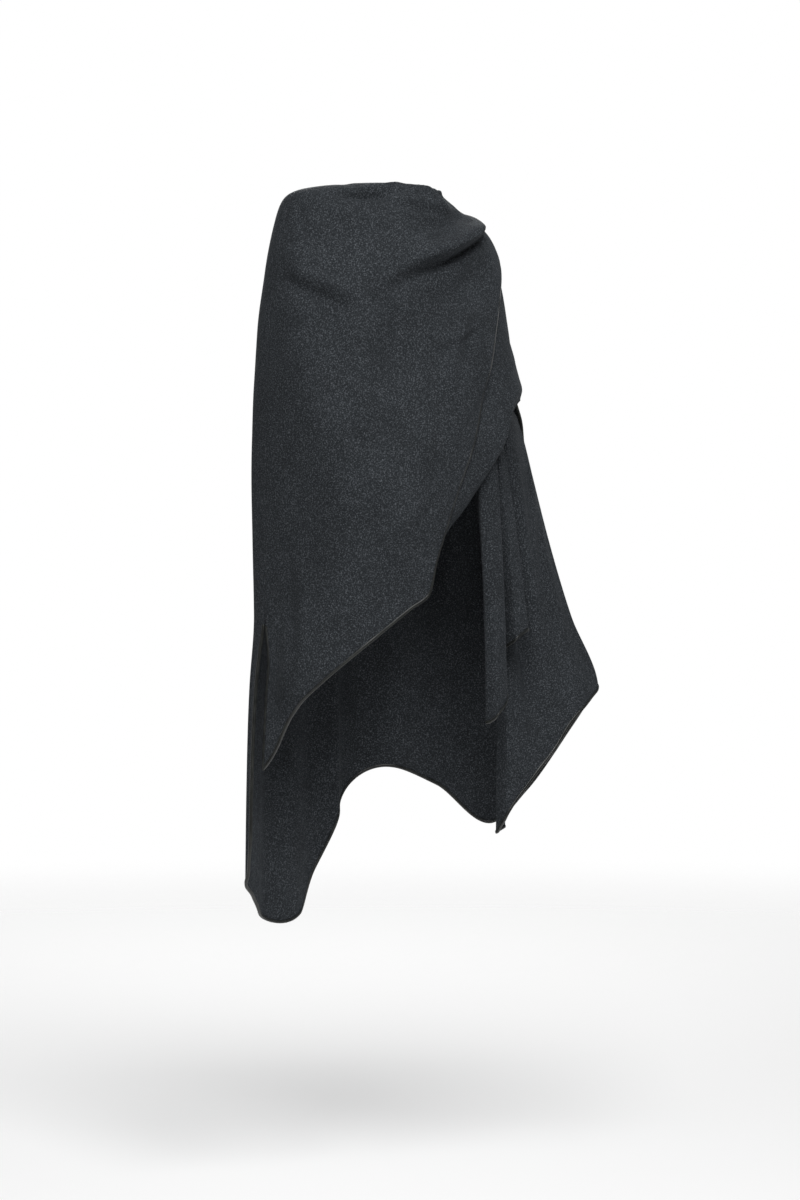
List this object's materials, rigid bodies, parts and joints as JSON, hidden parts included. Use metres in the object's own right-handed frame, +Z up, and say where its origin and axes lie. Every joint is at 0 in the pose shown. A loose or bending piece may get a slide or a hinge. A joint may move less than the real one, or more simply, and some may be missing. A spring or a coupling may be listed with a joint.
{
  "type": "wool cape coat",
  "caption": "Draped wool cape coat worn as a wrap: a wide bound sheet whose right front is thrown across the chest and over the left shoulder, with open sides and low rounded corners.",
  "frame": {"origin": "middle of the neck at the height of the shoulders, where the wearer's shoulders hold the garment", "axes": "+Z up, the garment's front faces -Y, its right side is at -X and its left side at +X"},
  "size_m": [0.5848, 0.3062, 1.136],
  "materials": {
    "wool": "brushed felted melange wool, matt",
    "binding": "narrow folded strip, low sheen"
  },
  "bodies": {
    "root": {"right_front": "wool", "right_front_end": "wool", "left_front": "wool", "left_front_sheet": "wool", "left_front_fall": "wool", "back": "wool", "binding_right_front": "binding", "binding_right_front_end": "binding", "binding_left_front_sheet": "binding", "binding_left_front_fall": "binding", "binding_back": "binding"}
  },
  "joints": []
}
